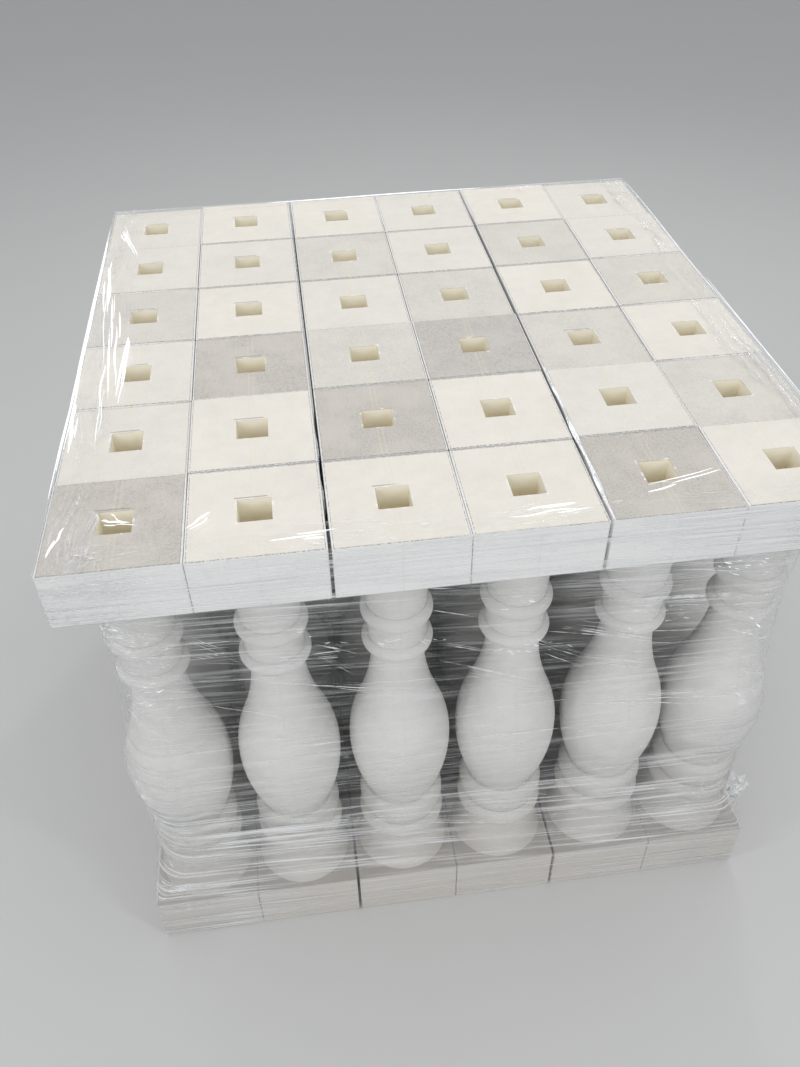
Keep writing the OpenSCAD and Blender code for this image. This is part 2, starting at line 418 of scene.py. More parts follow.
def makeStone(name, sawn, speckle, groups):
    material, tree, shader, coords = newMaterial(name)
    place, look, colours = coords["Object"], stoneLook, stoneColours
    size = (casting["blockWidth"], casting["blockDepth"], casting["tallest"])
    local = addVector(tree, "SUBTRACT", coords["Generated"], (0.5, 0.5, 0.0))
    local = addVector(tree, "MULTIPLY", local, size)
    grain = useGroup(tree, groups["castGrain"], Place=place)
    lineMarks = useGroup(tree, groups["wrinkleLightMarks"], Place=place)
    face = useGroup(tree, groups["sawnTop"], Local=local, Place=place)
    tone = addRange(tree, grain["Tone"], *look["tone"], kind="LINEAR")
    localX, _, localZ = splitVector(tree, local)
    capZ, baseZ = casting["tallest"] - casting["capHeight"], casting["baseHeight"]
    onCap = addRange(tree, localZ, capZ - look["blockEdge"], capZ + look["blockEdge"])
    onBase = addFade(tree, localZ, baseZ - look["blockEdge"], baseZ + look["blockEdge"])
    onBlock = addMath(tree, "MAXIMUM", onCap, addProduct(tree, onBase, look["baseShare"]))
    x, y, _ = splitVector(tree, place)
    fromSides = addMath(tree, "SUBTRACT", cadHigh[0], addMath(tree, "ABSOLUTE", x))
    fromEnds = addMath(tree, "SUBTRACT", cadHigh[1], addMath(tree, "ABSOLUTE", y))
    inside = addMath(tree, "MINIMUM", fromSides, fromEnds)
    shade = addRange(tree, inside, casting["shadeFrom"], casting["shadeFull"], 0.0, look["shade"])
    shade = addProduct(tree, shade, addRange(tree, onCap, 0.0, 1.0, 1.0, look["shadeOnCaps"]))
    skin = addLayers(
        tree,
        addMix(tree, tone, colours["skinLow"], colours["skinHigh"]),
        (addProduct(tree, onCap, look["capSkin"]), colours["capSkin"]),
        # towards the bottom: dust, and a painted reflection of the floor
        (addRange(tree, localZ, *look["dustAndFloorReflection"], kind="LINEAR"), colours["dustAndFloorReflection"]),
        # painted shadows (grey) and painted highlights (white) of the wound film's wrinkles
        (addProduct(tree, lineMarks["Grey"], onBlock, look["wrinkleShadow"]), colours["wrinkleShadow"]),
        (addProduct(tree, lineMarks["White"], onBlock, look["wrinkleSheenAndScratch"]), colours["wrinkleSheenAndScratch"]),
        (addProduct(tree, grain["Pits"], look["pits"]), colours["dustAndFloorReflection"]),
        (addFade(tree, addMath(tree, "ABSOLUTE", localX), *look["mouldSeam"]), colours["dustAndFloorReflection"]),
        # dust and painted shade on the top of the base, round the foot
        (addLine(tree, localZ, baseZ, *look["ledge"]), colours["ledgeDustAndShade"]),
        (shade, colours["deepShade"]),
    )
    specks = [
        (addPatches(tree, place, noise, (*shown, 0.0, speckle)), tinted(sawn, tint))
        for noise, shown, tint in look["specks"]
    ]
    cut = addLayers(
        tree,
        addMix(tree, tone, *(tinted(sawn, share) for share in look["sawnTones"])),
        *specks,
        (addRange(tree, face["Scratch"], *look["scratches"]), colours["wrinkleSheenAndScratch"]),
        (addProduct(tree, face["Band"], look["seams"]), colours["seam"]),
        (face["Line"], colours["darkLineAndShadow"]),
        (face["Rim"], colours["rim"]),
        (face["Chips"], colours["chip"]),
        # painted shadow along the back edge of the socket
        (addProduct(tree, face["Slit"], look["backEdgeShadow"]), colours["darkLineAndShadow"]),
    )
    wall = addLayers(
        tree,
        addMix(tree, face["Depth"], colours["socketHigh"], colours["socketLow"]),
        (addPatches(tree, place, *look["blotchPatch"]), colours["socketHigh"]),
    )
    colour = addLayers(tree, skin, (face["Top"], cut), (face["Socket"], wall))
    roughness = addRange(tree, grain["Tone"], *look["tone"], *look["roughness"], "LINEAR")
    setSocket(tree, shader.inputs["Base Color"], colour)
    setSocket(tree, shader.inputs["Roughness"], roughness)
    shader.inputs["Specular IOR Level"].default_value = look["specular"]
    setSocket(tree, shader.inputs["Normal"], addBump(tree, grain["Height"], *look["bump"]))
    return material


def dressCastings():
    groups = {"castGrain": makeCastGrain(), "wrinkleLightMarks": makeBrushMarks(), "sawnTop": makeSawnTop()}
    materials = {name: makeStone(name, *look, groups) for name, (*look, _) in sawnTops.items()}
    topOf = {short: name for name, (*_, shorts) in sawnTops.items() for short in shorts}
    for row in casting["rows"]:
        for column in casting["columns"]:
            short = row + str(column)
            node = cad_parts["baluster_" + short]
            node.data.materials.clear()
            node.data.materials.append(materials[topOf.get(short, "sawnCream")])
    print("castings: stone on", len(casting["rows"]) * len(casting["columns"]))


film = {
    "across": 230,  # columns of one side, without its corners
    "corner": 12,  # columns of half a corner
    "cornerFrom": 0.03,  # sine of the angle from which a column counts as the corner
    "cornerShare": 0.06,  # of one side's run in the crease pattern
    "up": 300,  # rows
    "bend": 0.006,  # height over which a bend is rounded
    "bendStep": 0.001,
}

creases = {
    "seed": 11,
    "cells": {"fine": (150, 44), "mid": (64, 90), "long": (90, 24)},  # up the side, and round the pack
    "sway": [(0.012, 3, 1.0), (0.01, 5, 0.0)],  # share of the height, number of waves and where they start
    "ridges": {"fine": (0.6, 5), "long": (0.7, 7)},  # share and steepness
    "swell": 0.5,  # share of the middle cells, which have no ridges
    "height": 0.0005,
    "neckHeight": 0.0006,  # added round the necks
    "cornerHeight": 0.0003,  # added at the corners
    "neck": (0.575, 0.07),  # where the necks are, and how far up and down they reach
    "onBlocks": 0.25,  # share of the creases where the film lies on the flat blocks
    "belowCap": 0.004,
}


def addObject(name, data):
    item = bpy.data.objects.new(name, data)
    bpy.context.scene.collection.objects.link(item)
    return item


def meshObject(name, places, faces, material):
    mesh = bpy.data.meshes.new(name)
    mesh.from_pydata(places, [], faces)
    mesh.polygons.foreach_set("use_smooth", np.ones(len(faces), bool))
    mesh.materials.append(material)
    piece = addObject(name, mesh)
    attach(piece, "root")
    return piece


def gridObject(name, places, material):
    rows, columns = places.shape[:2]
    index = np.arange(rows * columns).reshape(rows, columns)
    quads = np.stack([index[:-1, :-1], index[:-1, 1:], index[1:, 1:], index[1:, :-1]], axis=-1)
    return meshObject(name, places.reshape(-1, 3).tolist(), quads.reshape(-1, 4).tolist(), material)


def rounded(at, heights, values):
    step = film["bendStep"]
    fine = np.arange(heights[0], heights[-1], step)
    count = 2 * int(film["bend"] / step / 2) + 1
    kernel = np.hanning(count + 2)[1:-1]
    padded = np.pad(np.interp(fine, heights, values), count // 2, mode="edge")
    return np.interp(at, fine, np.convolve(padded, kernel / kernel.sum(), mode="valid"))


def filmOutline():
    # half width, half depth and corner radius at each height, read from the solid film
    decimals, sameLevel, sameFace = 4, 0.0001, 0.00002
    points = np.array([v.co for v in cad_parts["film_front"].data.vertices])
    foldLow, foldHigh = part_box("film_fold")
    halfThick = (foldHigh.z - foldLow.z) / 2
    levels = []
    for z in np.unique(points[:, 2].round(decimals)):
        ring = points[abs(points[:, 2] - z) < sameLevel]
        halfDepth = -ring[:, 1].min()
        straight = ring[abs(ring[:, 1] + halfDepth) < sameFace, 0].max()
        radius = (ring[:, 0].max() - straight) / math.sin(math.pi / 4)
        levels.append((z, straight + radius, halfDepth, radius))
    levels = np.array(levels)
    at = np.linspace(levels[0, 0], levels[-1, 0], film["up"])
    return [at] + [rounded(at, levels[:, 0], levels[:, k]) - halfThick for k in (1, 2, 3)]


def filmSides():
    # each side in turn: half its length, how far out it is and the radius of its corners, at each height
    heights, halfWidth, halfDepth, radius = filmOutline()
    for k, side in enumerate(("front", "right", "back", "left")):
        along, out = (halfWidth, halfDepth) if k % 2 == 0 else (halfDepth, halfWidth)
        yield k, side, (heights, along, out, radius)


def makeCreases():
    # folds of the wound film: long and low along the wind, with sharp ridges here and there
    rng = np.random.default_rng(creases["seed"])
    cells = creases["cells"]
    fields = {name: rng.random((rows + 2, columns)) for name, (rows, columns) in cells.items()}

    def sample(name, u, v):
        field, (rows, columns) = fields[name], cells[name]
        y, x = np.clip(v, 0, 1) * rows, (u % 1.0) * columns
        i, j = np.floor(y).astype(int), np.floor(x).astype(int)
        fy, fx = y - i, x - j
        fy, fx = fy * fy * (3 - 2 * fy), fx * fx * (3 - 2 * fx)
        first, second = j % columns, (j + 1) % columns
        below = field[i, first] * (1 - fx) + field[i, second] * fx
        above = field[i + 1, first] * (1 - fx) + field[i + 1, second] * fx
        return below * (1 - fy) + above * fy

    def crease(u, v, z, atCorner):
        for height, waves, start in creases["sway"]:
            v = v + height * np.sin(u * 2 * math.pi * waves + start)
        sharp = 0
        for name, (share, steep) in creases["ridges"].items():
            sharp = sharp + share * np.clip(1 - abs(sample(name, u, v) - 0.5) * steep, 0, 1)
        capZ = casting["tallest"] - casting["capHeight"]
        onBlock = (z > capZ - creases["belowCap"]) | (z < casting["baseHeight"])
        neckZ, neckReach = creases["neck"]
        amount = creases["height"] + creases["neckHeight"] * np.exp(-((z - neckZ) / neckReach) ** 2)
        amount = amount + creases["cornerHeight"] * atCorner
        amount = amount * np.where(onBlock, creases["onBlocks"], 1.0)
        return amount * (sharp + creases["swell"] * sample("mid", u, v))

    return crease


def filmSide(k, heights, along, out, radius, crease):
    # one side before it is turned: it runs along +X and faces -Y
    arc = np.linspace(0, math.pi / 4, film["corner"] + 1)
    run = np.linspace(-1, 1, film["across"] + 1)[1:-1]
    angle = np.concatenate([-arc[::-1], np.zeros(len(run)), arc])
    straight = np.concatenate([-np.ones(len(arc)), run, np.ones(len(arc))])
    u = straight * (0.5 - film["cornerShare"]) + angle / (math.pi / 4) * film["cornerShare"]
    u = (k + 0.5 + u[None, :]) / 4 + 0 * heights[:, None]
    z = heights[:, None] + 0 * u
    v = (z - heights[0]) / (heights[-1] - heights[0])
    push = crease(u, v, z, abs(np.sin(angle))[None, :] > film["cornerFrom"])
    reach = radius[:, None] + push
    x = (along - radius)[:, None] * straight[None, :] + reach * np.sin(angle)[None, :]
    y = (radius - out)[:, None] - reach * np.cos(angle)[None, :]
    return np.stack([x, y, z], axis=-1)


def turned(places, quarter):
    c, s = math.cos(quarter * math.pi / 2), math.sin(quarter * math.pi / 2)
    x, y = places[..., 0], places[..., 1]
    return np.stack([c * x - s * y, s * x + c * y, places[..., 2]], axis=-1)


clearFilm = {
    "colour": (0.93, 0.94, 0.95), "shine": (0.9, 0.94, 1.0), "ior": 2.1, "specular": 1.0, "most": 0.92,
}

streaks = {  # stretch, detail, roughness and distortion of each noise, and where each mark shows
    "wide": ((2.6, 2.6, 95.0), 2.0, 0.6, 0.25),
    "fine": ((2.4, 2.4, 300.0), 2.0, 0.6, 0.2),
    "cloud": ((4.0, 4.0, 13.0), 3.0, 0.6),
    "contour": ((1.8, 1.8, 150.0), 1.0, 0.5, 0.6),
    "stroke": ((3.4, 3.4, 240.0), 2.0, 0.65),
    "patch": ((3.0, 3.0, 22.0), 2.0, 0.6),
    "streaksFrom": (0.47, 0.68),
    "threadWidth": 0.016,
    "threadsFrom": (0.46, 0.6),
    "strokesFrom": (0.54, 0.7),
    "patchesFrom": (0.46, 0.64),
    "cloudRange": (0.3, 0.7),
    "wideHeight": 0.75,
    "fineHeight": 0.2,
}


def makeFilmStreaks():
    # streaks, threads, brush strokes and clouds that run along the first two axes
    tree, along = startGroup("filmStreaks", "Along")
    wide, fine, cloud, contour, stroke, patch = (
        addLongNoise(tree, along, *streaks[kind])
        for kind in ("wide", "fine", "cloud", "contour", "stroke", "patch")
    )
    streak = addSum(tree, addProduct(tree, wide, 0.5), addProduct(tree, fine, 0.5))
    thread = addLine(tree, contour, 0.5, 0.0, streaks["threadWidth"])
    stroke = addRange(tree, stroke, *streaks["strokesFrom"])
    wideHeight = addProduct(tree, wide, streaks["wideHeight"])
    return finishGroup(
        tree,
        Streak=addRange(tree, streak, *streaks["streaksFrom"]),
        Thread=addProduct(tree, thread, addRange(tree, cloud, *streaks["threadsFrom"])),
        Brush=addProduct(tree, stroke, addRange(tree, patch, *streaks["patchesFrom"])),
        Cloud=addRange(tree, cloud, *streaks["cloudRange"], kind="LINEAR"),
        Height=addSum(tree, wideHeight, addProduct(tree, fine, streaks["fineHeight"])),
    )


glintMarks = {  # scale, detail, roughness and distortion of each noise, and where each mark shows
    "small": (1.0, 1.5, 0.5, 0.9),
    "smallFrom": (0.6, 0.68),
    "cluster": ((19.0, 1.0), (0.54, 0.66)),
    "ridgeWidth": 0.1,
}


def makeGlints():
    # small bright marks in clusters, where wrinkled film catches the light
    tree, place, stretch = startGroup("glints", "Place", "Stretch")
    small = addNoise(tree, addVector(tree, "MULTIPLY", place, stretch), *glintMarks["small"])
    cluster = addPatches(tree, place, *glintMarks["cluster"])
    return finishGroup(
        tree,
        Glint=addProduct(tree, addRange(tree, small, *glintMarks["smallFrom"]), cluster),
        Ridge=addLine(tree, small, 0.5, 0.0, glintMarks["ridgeWidth"]),
    )


def finishFilm(tree, shader, alpha, roughness, height, bump):
    shader.inputs["Base Color"].default_value = (*clearFilm["colour"], 1)
    shader.inputs["IOR"].default_value = clearFilm["ior"]
    shader.inputs["Specular IOR Level"].default_value = clearFilm["specular"]
    setSocket(tree, shader.inputs["Alpha"], addMath(tree, "MINIMUM", alpha, clearFilm["most"]))
    setSocket(tree, shader.inputs["Roughness"], roughness)
    setSocket(tree, shader.inputs["Normal"], addBump(tree, height, *bump))


wound = {
    "haze": [  # how milky the film is at each height
        (0.0, 0.12), (0.09, 0.13), (0.13, 0.17), (0.2, 0.2), (0.27, 0.16), (0.34, 0.07), (0.46, 0.05),
        (0.53, 0.07), (0.62, 0.08), (0.68, 0.13), (0.7, 0.22), (0.712, 0.18), (0.784, 0.18),
    ],
    "sparkle": [  # how many glints there are at each height
        (0.0, 0.0), (0.13, 0.1), (0.17, 0.6), (0.24, 0.6), (0.28, 0.15), (0.42, 0.15), (0.5, 0.7),
        (0.54, 1.0), (0.66, 1.0), (0.7, 0.2), (0.784, 0.0),
    ],
    "slope": [  # how much the streaks sink from left to right at each height
        (0.0, 0.0), (0.12, 0.03), (0.2, 0.035), (0.33, 0.0), (0.43, 0.0), (0.58, 0.04), (0.69, 0.03),
        (0.784, 0.0),
    ],
    "markShare": [  # how strong the threads and strokes are at each height
        (0.0, 0.4), (0.13, 0.4), (0.22, 0.9), (0.44, 0.9), (0.53, 0.4), (0.67, 0.4), (0.7, 0.9),
        (0.784, 0.9),
    ],
    "cloudMilk": (0.6, 1.4),
    "streakMilk": (0.6, 3.6),
    "cornerMilk": (0.25, 0.46, 1.0, 1.7),  # the product of nx and ny is 0.5 at a corner
    "cornerGlints": (0.475, 0.497, 0.0, 0.7),
    "glintStretch": (170.0, 170.0, 260.0),
    "rimLight": (0.8, 0.99, 0.0, 0.4),
    "thread": 0.34,
    "lineMarks": 0.3,
    "ridge": 0.5,
    "roughness": (0.1, 0.22),
    "bump": (0.9, 0.0024),
}


def makeWoundFilm(groups):
    # the streaks of the sides run round the pack, and in places sink from left to right on the front
    material, tree, shader, coords = newMaterial("woundFilm")
    place = coords["Object"]
    x, y, z = splitVector(tree, place)
    nx, ny, _ = splitVector(tree, addVector(tree, "NORMALIZE", joinVector(tree, x, y, 0.0)))
    sunk = addSum(tree, z, addProduct(tree, nx, addCurve(tree, z, wound["slope"])))
    marks = useGroup(tree, groups["filmStreaks"], Along=joinVector(tree, nx, ny, sunk))
    glints = useGroup(tree, groups["glints"], Place=place, Stretch=wound["glintStretch"])
    nearCorner = addMath(tree, "ABSOLUTE", addProduct(tree, nx, ny))
    corner = addRange(tree, nearCorner, *wound["cornerGlints"])
    milk = addProduct(
        tree,
        addCurve(tree, z, wound["haze"]),
        addRange(tree, marks["Cloud"], 0.0, 1.0, *wound["cloudMilk"], "LINEAR"),
        addRange(tree, marks["Streak"], 0.0, 1.0, *wound["streakMilk"], "LINEAR"),
        addRange(tree, nearCorner, *wound["cornerMilk"]),
    )
    thread = addProduct(tree, marks["Thread"], wound["thread"])
    lineMarks = addProduct(tree, marks["Brush"], wound["lineMarks"])
    weight = tree.nodes.new("ShaderNodeLayerWeight")
    milk = addSum(
        tree,
        milk,
        addProduct(tree, addSum(tree, thread, lineMarks), addCurve(tree, z, wound["markShare"])),
        addProduct(tree, glints["Glint"], addCurve(tree, z, wound["sparkle"]), corner),
        addRange(tree, weight.outputs["Facing"], *wound["rimLight"]),
    )
    roughness = addRange(tree, marks["Cloud"], 0.0, 1.0, *wound["roughness"], "LINEAR")
    height = addSum(tree, marks["Height"], addProduct(tree, glints["Ridge"], corner, wound["ridge"]))
    finishFilm(tree, shader, milk, roughness, height, wound["bump"])
    return material


folded = {  # streaks run along the fold: how milky they are, and how bright the threads
    "X": {"streak": (0.03, 0.2), "thread": 0.35, "glint": 0.4, "stretch": (60.0, 260.0, 60.0)},
    "Y": {"streak": (0.06, 0.38), "thread": 0.55, "glint": 0.3, "stretch": (260.0, 60.0, 60.0)},
}

foldMarks = {
    "waveNoise": (6.0, 2.0),
    "wave": 0.05,
    "along": (1.4, 0.6),  # how fast the marks change along the fold, on two axes
    "cloudMilk": (0.4, 1.6),
    "ridge": 0.25,
    "roughness": (0.1, 0.2),
    "bump": (0.9, 0.0025),
}


def makeFoldedFilm(groups, wind):
    material, tree, shader, coords = newMaterial("foldedFilm" + wind)
    place, look = coords["Object"], folded[wind]
    x, y, _ = splitVector(tree, place)
    side, run = (x, y) if wind == "Y" else (y, x)
    wave = addMath(tree, "SUBTRACT", addNoise(tree, place, *foldMarks["waveNoise"]), 0.5)
    wave = addProduct(tree, wave, foldMarks["wave"])
    runs = (addProduct(tree, run, share) for share in foldMarks["along"])
    marks = useGroup(tree, groups["filmStreaks"], Along=joinVector(tree, *runs, addSum(tree, side, wave)))
    glints = useGroup(tree, groups["glints"], Place=place, Stretch=look["stretch"])
    milk = addProduct(
        tree,
        addRange(tree, marks["Streak"], 0.0, 1.0, *look["streak"], "LINEAR"),
        addRange(tree, marks["Cloud"], 0.0, 1.0, *foldMarks["cloudMilk"], "LINEAR"),
    )
    milk = addSum(
        tree,
        milk,
        addProduct(tree, marks["Thread"], look["thread"]),
        addProduct(tree, glints["Glint"], look["glint"]),
    )
    roughness = addRange(tree, marks["Cloud"], 0.0, 1.0, *foldMarks["roughness"], "LINEAR")
    height = addSum(tree, marks["Height"], addProduct(tree, glints["Ridge"], foldMarks["ridge"]))
    finishFilm(tree, shader, milk, roughness, height, foldMarks["bump"])
    return material


wrinkleFilms = {  # least and most opaque, and the shine that stands for the lamps which each wrinkle mirrors
    "wrinkleFilm": (0.08, 0.8, 0.0),
    "brightFilm": (0.65, 0.92, 0.6),
    "seamFilm": (0.45, 0.9, 0.0),
    "tailFilm": (0.4, 0.85, 0.0),
}

wrinkleMarks = {
    "cloud": (42.0, 2.0, 0.6),
    "cloudRange": (0.36, 0.66),
    "roughness": (0.3, 0.7, 0.12, 0.22),
    "bump": (0.3, 0.001),
}


def makeWrinkleFilm(name, alphaLow, alphaHigh, shine):
    # film drawn into narrow bright wrinkles
    material, tree, shader, coords = newMaterial(name)
    shader.inputs["Emission Color"].default_value = (*clearFilm["shine"], 1)
    shader.inputs["Emission Strength"].default_value = shine
    cloud = addNoise(tree, coords["Object"], *wrinkleMarks["cloud"])
    alpha = addRange(tree, cloud, *wrinkleMarks["cloudRange"], alphaLow, alphaHigh)
    roughness = addRange(tree, cloud, *wrinkleMarks["roughness"])
    finishFilm(tree, shader, alpha, roughness, cloud, wrinkleMarks["bump"])
    return material


def windFilm(material):
    crease = makeCreases()
    for k, side, (heights, along, out, radius) in filmSides():
        places = turned(filmSide(k, heights, along, out, radius, crease), k)
        piece = gridObject("film" + side.capitalize(), places, material)
        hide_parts("film_" + side)
        print("film:", side, places.shape[0], "x", places.shape[1])


wrinkles = {
    "lines": [  # on the front: start, end and number of wrinkles side by side
        ((-0.43, 0.675), (-0.335, 0.635), 6), ((-0.34, 0.655), (-0.27, 0.595), 7),
        ((-0.27, 0.585), (-0.12, 0.58), 7), ((-0.185, 0.61), (-0.12, 0.58), 4),
        ((-0.185, 0.545), (-0.145, 0.575), 3), ((-0.19, 0.59), (-0.13, 0.535), 4),
        ((-0.265, 0.55), (-0.05, 0.495), 5), ((-0.405, 0.555), (-0.27, 0.535), 5),
        ((-0.315, 0.265), (-0.01, 0.205), 9), ((-0.1, 0.225), (0.16, 0.18), 7),
        ((0.145, 0.3), (0.27, 0.285), 4), ((0.155, 0.205), (0.4, 0.165), 8),
        ((0.135, 0.45), (0.39, 0.425), 6), ((0.13, 0.535), (0.28, 0.485), 6),
        ((0.17, 0.625), (0.42, 0.605), 9), ((0.12, 0.615), (0.375, 0.62), 6),
        ((-0.285, 0.485), (-0.175, 0.46), 4), ((-0.265, 0.435), (-0.155, 0.43), 3),
        ((-0.15, 0.39), (-0.015, 0.39), 3), ((-0.04, 0.585), (0.05, 0.545), 6),
        ((-0.04, 0.55), (0.135, 0.47), 6), ((0.075, 0.57), (0.185, 0.505), 6),
        ((0.12, 0.59), (0.26, 0.54), 6), ((-0.44, 0.325), (-0.395, 0.285), 4),
        ((-0.445, 0.61), (-0.37, 0.5), 7), ((-0.435, 0.53), (-0.36, 0.44), 6),
        ((-0.445, 0.3), (-0.375, 0.2), 7), ((-0.45, 0.15), (-0.38, 0.1), 5),
        ((0.33, 0.56), (0.44, 0.5), 6), ((0.36, 0.48), (0.45, 0.42), 5),
    ],
    "fields": [  # on the front: left, right, bottom, top, steepest fall and number of wrinkles
        (0.16, 0.46, 0.5, 0.69, 0.18, 44), (-0.46, -0.25, 0.5, 0.69, 0.45, 22),
        (-0.42, 0.44, 0.15, 0.28, 0.14, 32), (-0.3, 0.44, 0.28, 0.5, 0.03, 24),
        (-0.2, 0.2, 0.5, 0.7, 0.45, 18),
    ],
    "otherSides": (-0.44, 0.44, 0.14, 0.7, 0.25, 90),
    "seed": 23,
    "spread": 0.005,  # of the wrinkles of one line
    "fan": 0.03,  # how much their directions differ
    "cutEnd": 0.3,  # largest share of a line that is missing at each end
    "spacing": 0.006,  # of the points of one wrinkle, and their least number
    "fewest": 8,
    "length": (0.03, 0.16),
    "width": (0.0002, 0.0009),
    "off": (0.0009, 0.0022),  # above the film
    "wave": (0.0002, 0.0009),
    "waves": (40, 160),  # radians in a metre
    "lean": (-0.5, 0.9),
}

sparks = {
    "clusters": [  # on the front: middle, reach and number of glints
        (0.28, 0.595, 0.03, 0.012, 16), (0.09, 0.56, 0.03, 0.006, 16), (0.095, 0.64, 0.02, 0.006, 5),
        (0.33, 0.665, 0.03, 0.006, 16), (0.385, 0.455, 0.025, 0.03, 14), (0.375, 0.55, 0.01, 0.01, 5),
        (0.24, 0.565, 0.02, 0.04, 7), (-0.42, 0.64, 0.02, 0.025, 40), (-0.4, 0.545, 0.02, 0.025, 28),
        (-0.43, 0.32, 0.015, 0.05, 30), (-0.42, 0.21, 0.02, 0.04, 24), (-0.43, 0.12, 0.025, 0.02, 24),
        (-0.19, 0.63, 0.006, 0.006, 4), (-0.3, 0.605, 0.018, 0.004, 6), (-0.165, 0.6, 0.01, 0.004, 4),
        (-0.09, 0.595, 0.012, 0.003, 5), (-0.04, 0.59, 0.01, 0.003, 5),
    ],
    "points": 5,
    "length": (0.003, 0.012),
    "width": (0.0005, 0.0016),
    "slope": (-0.1, 0.5),  # mean and spread
    "off": 0.0026,
    "across": (0.0, -0.6, 1.0),
}

topLines = [  # on the flaps: start, end, number side by side and how far these spread
    ((-0.46, -0.44), (-0.46, 0.44), 9, 0.002), ((-0.435, 0.18), (-0.41, -0.145), 8, 0.006),
    ((-0.4, 0.035), (-0.405, -0.2), 5, 0.002), ((-0.445, 0.405), (-0.395, 0.225), 5, 0.006),
    ((-0.405, -0.395), (-0.36, -0.405), 5, 0.003), ((-0.39, -0.38), (-0.36, -0.41), 3, 0.001),
    ((-0.45, -0.445), (-0.44, -0.395), 3, 0.002), ((-0.31, -0.425), (-0.26, -0.375), 3, 0.002),
    ((-0.455, -0.13), (-0.45, -0.3), 4, 0.003), ((-0.455, 0.3), (-0.44, 0.09), 4, 0.004),
    ((0.46, -0.44), (0.46, 0.44), 2, 0.001), ((-0.24, -0.45), (-0.14, -0.445), 3, 0.004),
    ((0.02, -0.45), (0.15, -0.44), 4, 0.005), ((0.18, -0.43), (0.3, -0.4), 3, 0.004),
    ((-0.42, -0.25), (-0.425, -0.06), 3, 0.005), ((-0.45, 0.455), (0.43, 0.46), 4, 0.002),
]

topWrinkles = {
    "seed": 37,
    "level": 0.0034,  # above the underside of the fold
    "lift": (0, 0.0008),
    "start": (0.0, 0.6),  # share of the line before a wrinkle, and share that it takes
    "share": (0.15, 0.7),
    "spacing": 0.012,
    "bow": (0.0, 0.0015),
    "bows": (4, 18),
    "inset": 0.001,  # inside the solid box
    "lean": (-0.5, 0.5),
    "width": (0.0004, 0.0016),
}


def ribbon(path, across, halfWidth):
    # a flat strip along the path, tapered to both ends
    endAngle, fullness = 0.12, 0.7
    taper = halfWidth * np.sin(np.linspace(endAngle, math.pi - endAngle, len(path))) ** fullness
    step = np.asarray(across)[None, :] * taper[:, None]
    return np.stack([path - step, path + step], axis=0)


class Strips:
    # gathers ribbons, and makes one piece of them
    def __init__(self):
        self.places, self.faces, self.count = [], [], 0

    def add(self, strip):
        first, points = len(self.places), strip.shape[1]
        self.places.extend(strip.reshape(-1, 3).tolist())
        steps = range(first, first + points - 1)
        self.faces.extend([[i, i + 1, i + 1 + points, i + points] for i in steps])
        self.count += 1

    def finish(self, name, material):
        return meshObject(name, self.places, self.faces, material)


def onSide(outline, s, z, off):
    # a point of one side of the film before it is turned: s runs along the side and round its corners
    heights, along, out, radius = outline
    along, out, radius = (np.interp(z, heights, values) for values in (along, out, radius))
    run = along - radius
    angle = np.clip((abs(s) - run) / radius, 0, math.pi / 4)
    x = np.sign(s) * (np.minimum(abs(s), run) + (radius + off) * np.sin(angle))
    return np.stack([x, -(out - radius) - (radius + off) * np.cos(angle), z + 0 * x], axis=1)


def lineWrinkles(rng, lines):
    cutEnd, spacing, fewest = wrinkles["cutEnd"], wrinkles["spacing"], wrinkles["fewest"]
    for (startX, startZ), (endX, endZ), count in lines:
        for _ in range(count):
            low, high = rng.uniform(0.0, cutEnd), 1 - rng.uniform(0.0, cutEnd)
            share = np.linspace(low, high, max(fewest, int(abs(endX - startX) / spacing)))
            x = startX + (endX - startX) * share
            fan = rng.normal(0, wrinkles["fan"]) * (x - startX)
            yield x, startZ + (endZ - startZ) * share + rng.normal(0, wrinkles["spread"]) + fan


def fieldWrinkles(rng, left, right, bottom, top, fall, count):
    spacing, fewest, overrun = wrinkles["spacing"], wrinkles["fewest"], 0.02
    for _ in range(count):
        length, start = rng.uniform(*wrinkles["length"]), rng.uniform(left, right)
        x = np.linspace(start, min(start + length, right + overrun), max(fewest, int(length / spacing)))
        yield x, rng.uniform(bottom, top) - rng.uniform(0.0, fall) * (x - start)


def layWrinkles(softFilm, brightFilm):
    look, rng = wrinkles, np.random.default_rng(wrinkles["seed"])
    for k, side, outline in filmSides():
        strips = Strips()
        runs = list(lineWrinkles(rng, look["lines"])) if side == "front" else []
        for field in look["fields"] if side == "front" else [look["otherSides"]]:
            runs.extend(fieldWrinkles(rng, *field))
        for s, z in runs:
            wave, waves, start = (rng.uniform(*given) for given in (look["wave"], look["waves"], waveStart))
            z = z + wave * np.sin(s * waves + start)
            path = onSide(outline, s, z, rng.uniform(*look["off"]))
            across = (0.0, -rng.uniform(*look["lean"]), 1.0)
            strips.add(turned(ribbon(path, across, rng.uniform(*look["width"])), k))
        strips.finish("filmWrinkles_" + side, softFilm)
        print("wrinkles:", side, strips.count)
        if side == "front":
            laySparks(rng, outline, brightFilm)


def laySparks(rng, outline, material):
    strips = Strips()
    for x, z, reachX, reachZ, count in sparks["clusters"]:
        for _ in range(count):
            length, lean = rng.uniform(*sparks["length"]), rng.normal(*sparks["slope"])
            run = np.linspace(-0.5, 0.5, sparks["points"]) * length
            middleX, middleZ = x + rng.normal(0, reachX), z + rng.normal(0, reachZ)
            path = onSide(outline, middleX + run, middleZ + lean * run, sparks["off"])
            strips.add(ribbon(path, sparks["across"], rng.uniform(*sparks["width"])))
    strips.finish("filmGlints", material)
    print("glints:", strips.count)


